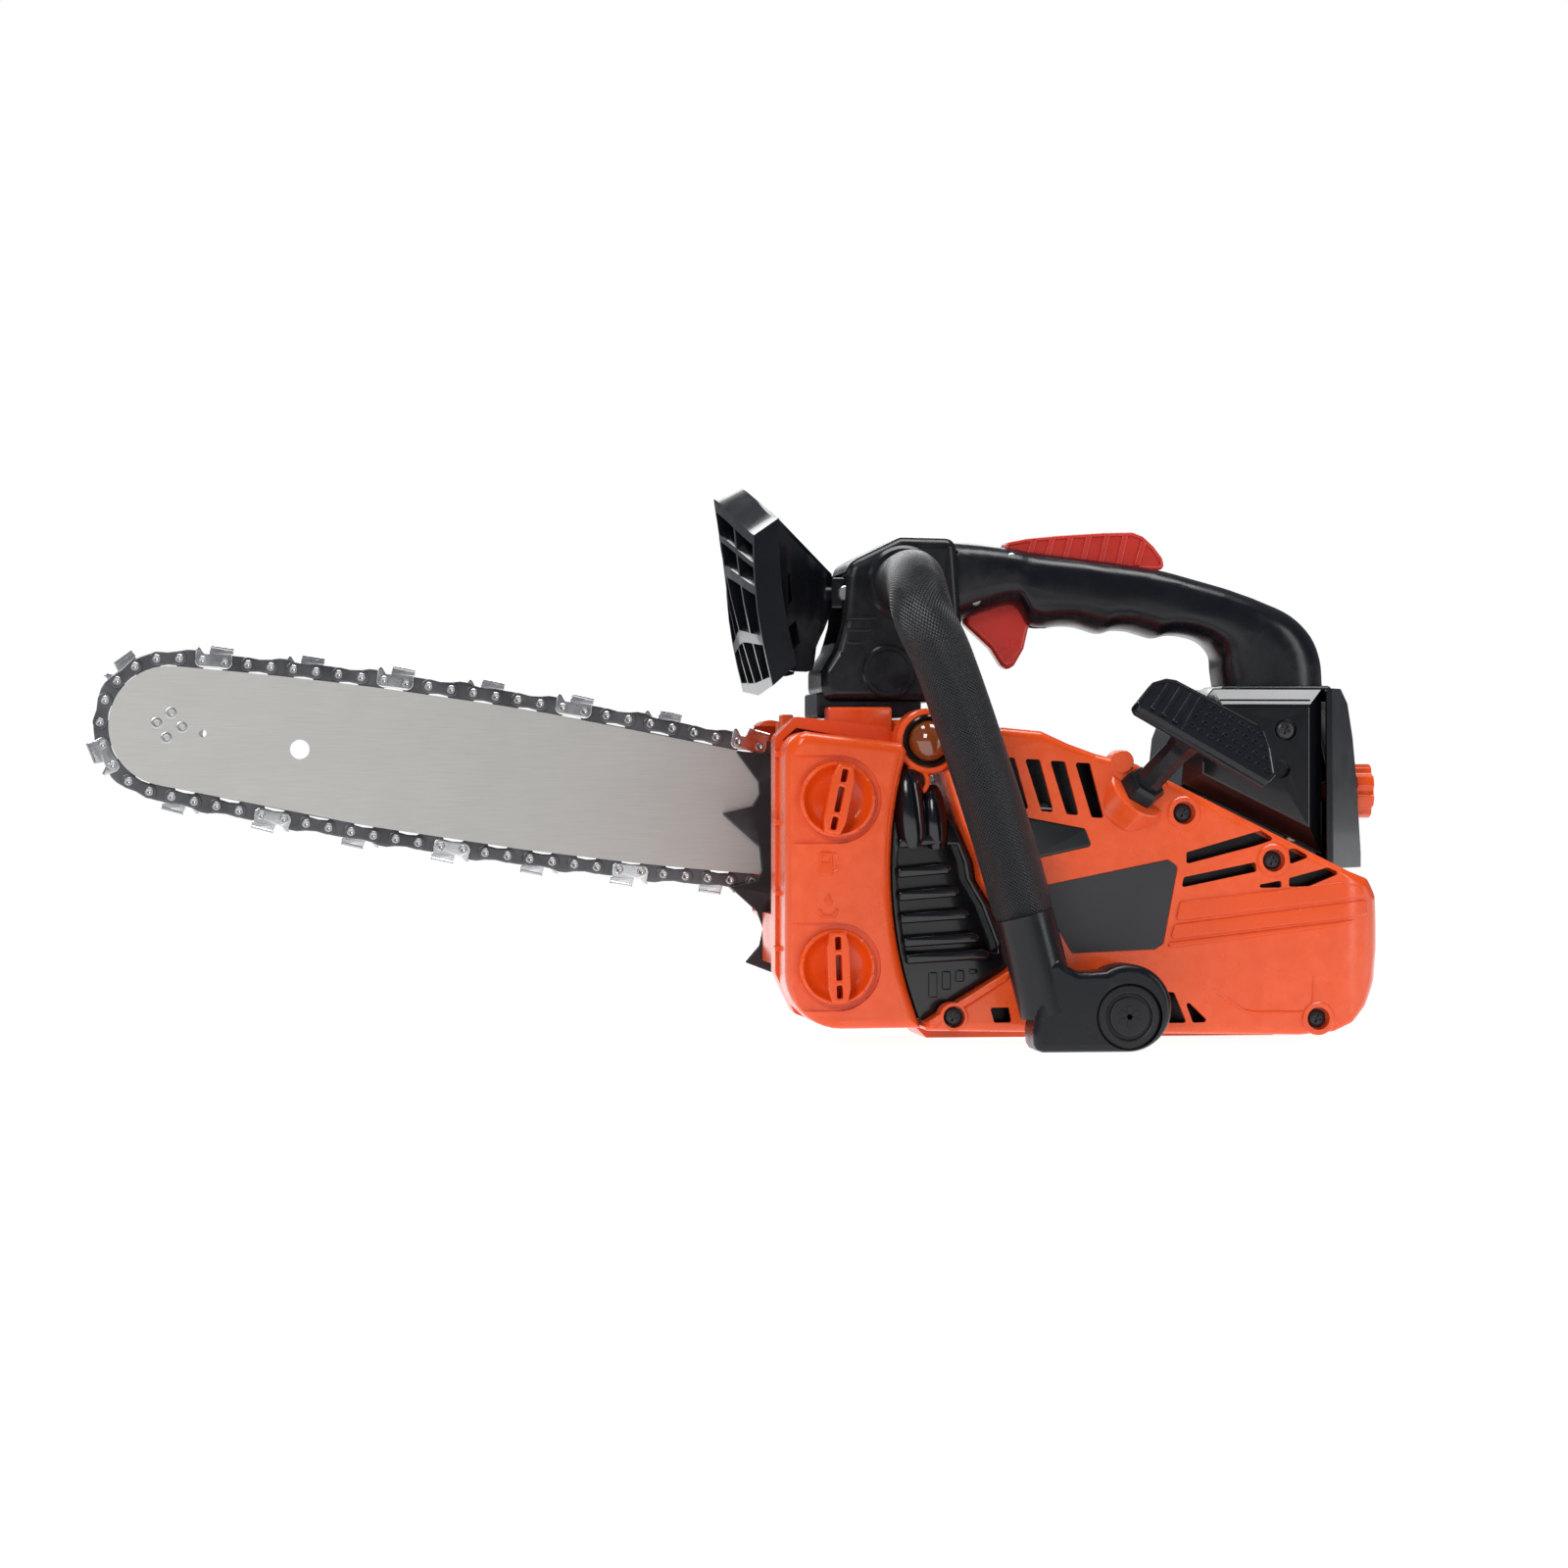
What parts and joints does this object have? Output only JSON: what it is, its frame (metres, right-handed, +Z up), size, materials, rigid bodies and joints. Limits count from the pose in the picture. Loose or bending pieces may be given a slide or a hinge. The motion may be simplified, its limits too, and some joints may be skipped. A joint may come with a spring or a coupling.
{
  "type": "chainsaw",
  "caption": "Compact top-handle petrol chainsaw with guide bar, saw chain, pull starter, front tube handle and hand guard.",
  "frame": {"origin": "on the flat of the base, in the cylinder's mid-plane, 3.5 mm behind the crankshaft axis", "axes": "-X towards the tip of the bar, +X to the rear, -Y to the starter side, +Y to the clutch and bar side, +Z up"},
  "size_m": [0.5256, 0.1863, 0.2253],
  "materials": {
    "orange_plastic": "moulded orange, satin-gloss",
    "black_plastic": "moulded black, satin",
    "gloss_black": "moulded black, glossy",
    "grip_black": "knurled grip texture",
    "red_plastic": "moulded red-orange",
    "alloy": "die-cast",
    "steel": "ground steel",
    "dark_steel": "blackened steel",
    "bar_steel": "brushed, lightly lacquered",
    "chrome": "hard chrome",
    "rubber": "moulded rubber",
    "amber": "clear amber, glossy",
    "felt": "pleated filter felt",
    "muffler_coat": "heat-proof coating",
    "label": "plain dark plate"
  },
  "bodies": {
    "root": {"chassis": "orange_plastic", "crankcase_left": "alloy", "crankcase_right": "alloy", "crank_bearings": "steel", "engine_cylinder": "alloy", "spark_plug": "steel", "plug_cap": "rubber", "ignition_coil": "black_plastic", "muffler": "muffler_coat", "intake_boot": "rubber", "carburettor": "alloy", "air_filter": "felt", "filter_housing": "black_plastic", "filter_cover": "black_plastic", "tank_shell": "orange_plastic", "tank_back": "orange_plastic", "primer_ring": "gloss_black", "cylinder_cover": "gloss_black", "starter_cover": "orange_plastic", "label_plate": "label", "recoil_spring": "steel", "oil_pump": "alloy", "brake_band": "steel", "clutch_cover": "orange_plastic", "bar_studs": "steel", "bar_nuts": "steel", "bumper_spikes": "dark_steel", "front_handle": "grip_black", "foot_buffer": "rubber", "top_handle": "black_plastic", "cover_screws": "dark_steel"},
    "crank": {"crankshaft": "steel", "flywheel": "alloy", "clutch_hub": "steel"},
    "piston_body": {"piston": "alloy", "piston_pin": "steel"},
    "rod": {"connecting_rod": "steel", "crank_pin": "steel"},
    "drum": {"clutch_drum": "steel"},
    "bar": {"guide_bar": "bar_steel", "drive_link_set": "dark_steel", "tie_strap_set": "steel", "cutter_set": "chrome", "chain_rivets": "steel", "tension_block": "steel"},
    "nose_star": {"nose_sprocket": "steel"},
    "tensioner": {"tension_screw": "steel"},
    "pulley": {"starter_pulley": "black_plastic", "starter_rope": "black_plastic"},
    "pull_grip": {"starter_grip": "black_plastic"},
    "fuel_lid": {"fuel_cap": "orange_plastic"},
    "oil_lid": {"oil_cap": "orange_plastic"},
    "knob": {"cover_knob": "orange_plastic"},
    "bulb": {"primer_bulb": "amber"},
    "throttle_valve": {"throttle_shaft": "steel"},
    "choke_valve": {"choke_shaft": "steel"},
    "trigger": {"throttle_trigger": "red_plastic"},
    "lockout": {"trigger_lockout": "red_plastic"},
    "guard": {"hand_guard": "gloss_black"},
    "stop": {"stop_switch": "red_plastic"}
  },
  "joints": [
    {"name": "crank_spin", "type": "hinge", "parent": "root", "child": "crank", "pos_m": [-0.0035, 0, 0.0752], "axis": [0, 1, 0], "continuous": true},
    {"name": "piston_stroke", "type": "slide", "parent": "root", "child": "piston_body", "axis": [-0.9781, 0, 0.2079], "range_m": [0, 0.028]},
    {"name": "rod_swing", "type": "hinge", "parent": "piston_body", "child": "rod", "pos_m": [-0.03676, 0, 0.08227], "axis": [0, 1, 0], "range_deg": [-16.9, 16.9]},
    {"name": "drum_spin", "type": "hinge", "parent": "root", "child": "drum", "pos_m": [-0.0035, 0.05, 0.0752], "axis": [0, 1, 0], "continuous": true},
    {"name": "bar_tension", "type": "slide", "parent": "root", "child": "bar", "axis": [0.9888, 0, -0.1495], "range_m": [0, 0.005]},
    {"name": "nose_spin", "type": "hinge", "parent": "bar", "child": "nose_star", "pos_m": [-0.34601, 0.044, 0.127], "axis": [0, 1, 0], "continuous": true},
    {"name": "tension_turn", "type": "hinge", "parent": "root", "child": "tensioner", "pos_m": [-0.08425, 0.0386, 0.07629], "axis": [-0.9888, 0, 0.1495], "range_deg": [0, 2250]},
    {"name": "pulley_spin", "type": "hinge", "parent": "root", "child": "pulley", "pos_m": [-0.0035, -0.06, 0.0752], "axis": [0, 1, 0], "range_deg": [0, 2047.3]},
    {"name": "rope_pull", "type": "slide", "parent": "root", "child": "pull_grip", "axis": [0.4507, -0.6509, 0.6109], "range_m": [0, 0.6], "stiffness_N_per_m": 4, "springref_m": -0.2},
    {"name": "fuel_cap_turn", "type": "hinge", "parent": "root", "child": "fuel_lid", "pos_m": [-0.0844, -0.066, 0.0972], "axis": [0, -1, 0], "range_deg": [-540, 0]},
    {"name": "oil_cap_turn", "type": "hinge", "parent": "root", "child": "oil_lid", "pos_m": [-0.0846, -0.066, 0.0316], "axis": [0, -1, 0], "range_deg": [-540, 0]},
    {"name": "cover_knob_turn", "type": "hinge", "parent": "root", "child": "knob", "pos_m": [0.14, 0, 0.1003], "axis": [1, 0, 0], "range_deg": [-720, 0]},
    {"name": "primer_press", "type": "slide", "parent": "root", "child": "bulb", "axis": [0, 1, 0], "range_m": [0, 0.004], "stiffness_N_per_m": 400},
    {"name": "throttle_turn", "type": "hinge", "parent": "root", "child": "throttle_valve", "pos_m": [0.071, 0, 0.088], "axis": [0, 1, 0], "range_deg": [0, 75]},
    {"name": "choke_turn", "type": "hinge", "parent": "root", "child": "choke_valve", "pos_m": [0.085, 0, 0.088], "axis": [0, 1, 0], "range_deg": [-85, 0]},
    {"name": "trigger_pull", "type": "hinge", "parent": "root", "child": "trigger", "pos_m": [-0.021, 0, 0.178], "axis": [0, -1, 0], "range_deg": [0, 15], "stiffness_Nm_per_rad": 0.3, "springref_deg": -11.46},
    {"name": "lockout_press", "type": "hinge", "parent": "root", "child": "lockout", "pos_m": [-0.006, 0, 0.195], "axis": [0, 1, 0], "range_deg": [0, 7], "stiffness_Nm_per_rad": 0.4, "springref_deg": -11.46},
    {"name": "chain_brake", "type": "hinge", "parent": "root", "child": "guard", "pos_m": [-0.075, 0, 0.18], "axis": [0, -1, 0], "range_deg": [0, 16]},
    {"name": "stop_slide", "type": "slide", "parent": "root", "child": "stop", "axis": [1, 0, 0], "range_m": [0, 0.005]}
  ],
  "couplings": [
    {"joint": "tension_turn", "follows": "bar_tension", "rad_per_m": 7854},
    {"joint": "pulley_spin", "follows": "rope_pull", "rad_per_m": 59.524},
    {"joint": "throttle_turn", "follows": "trigger_pull", "ratio": 5},
    {"joint": "nose_spin", "follows": "drum_spin", "ratio": 0.66667}
  ]
}
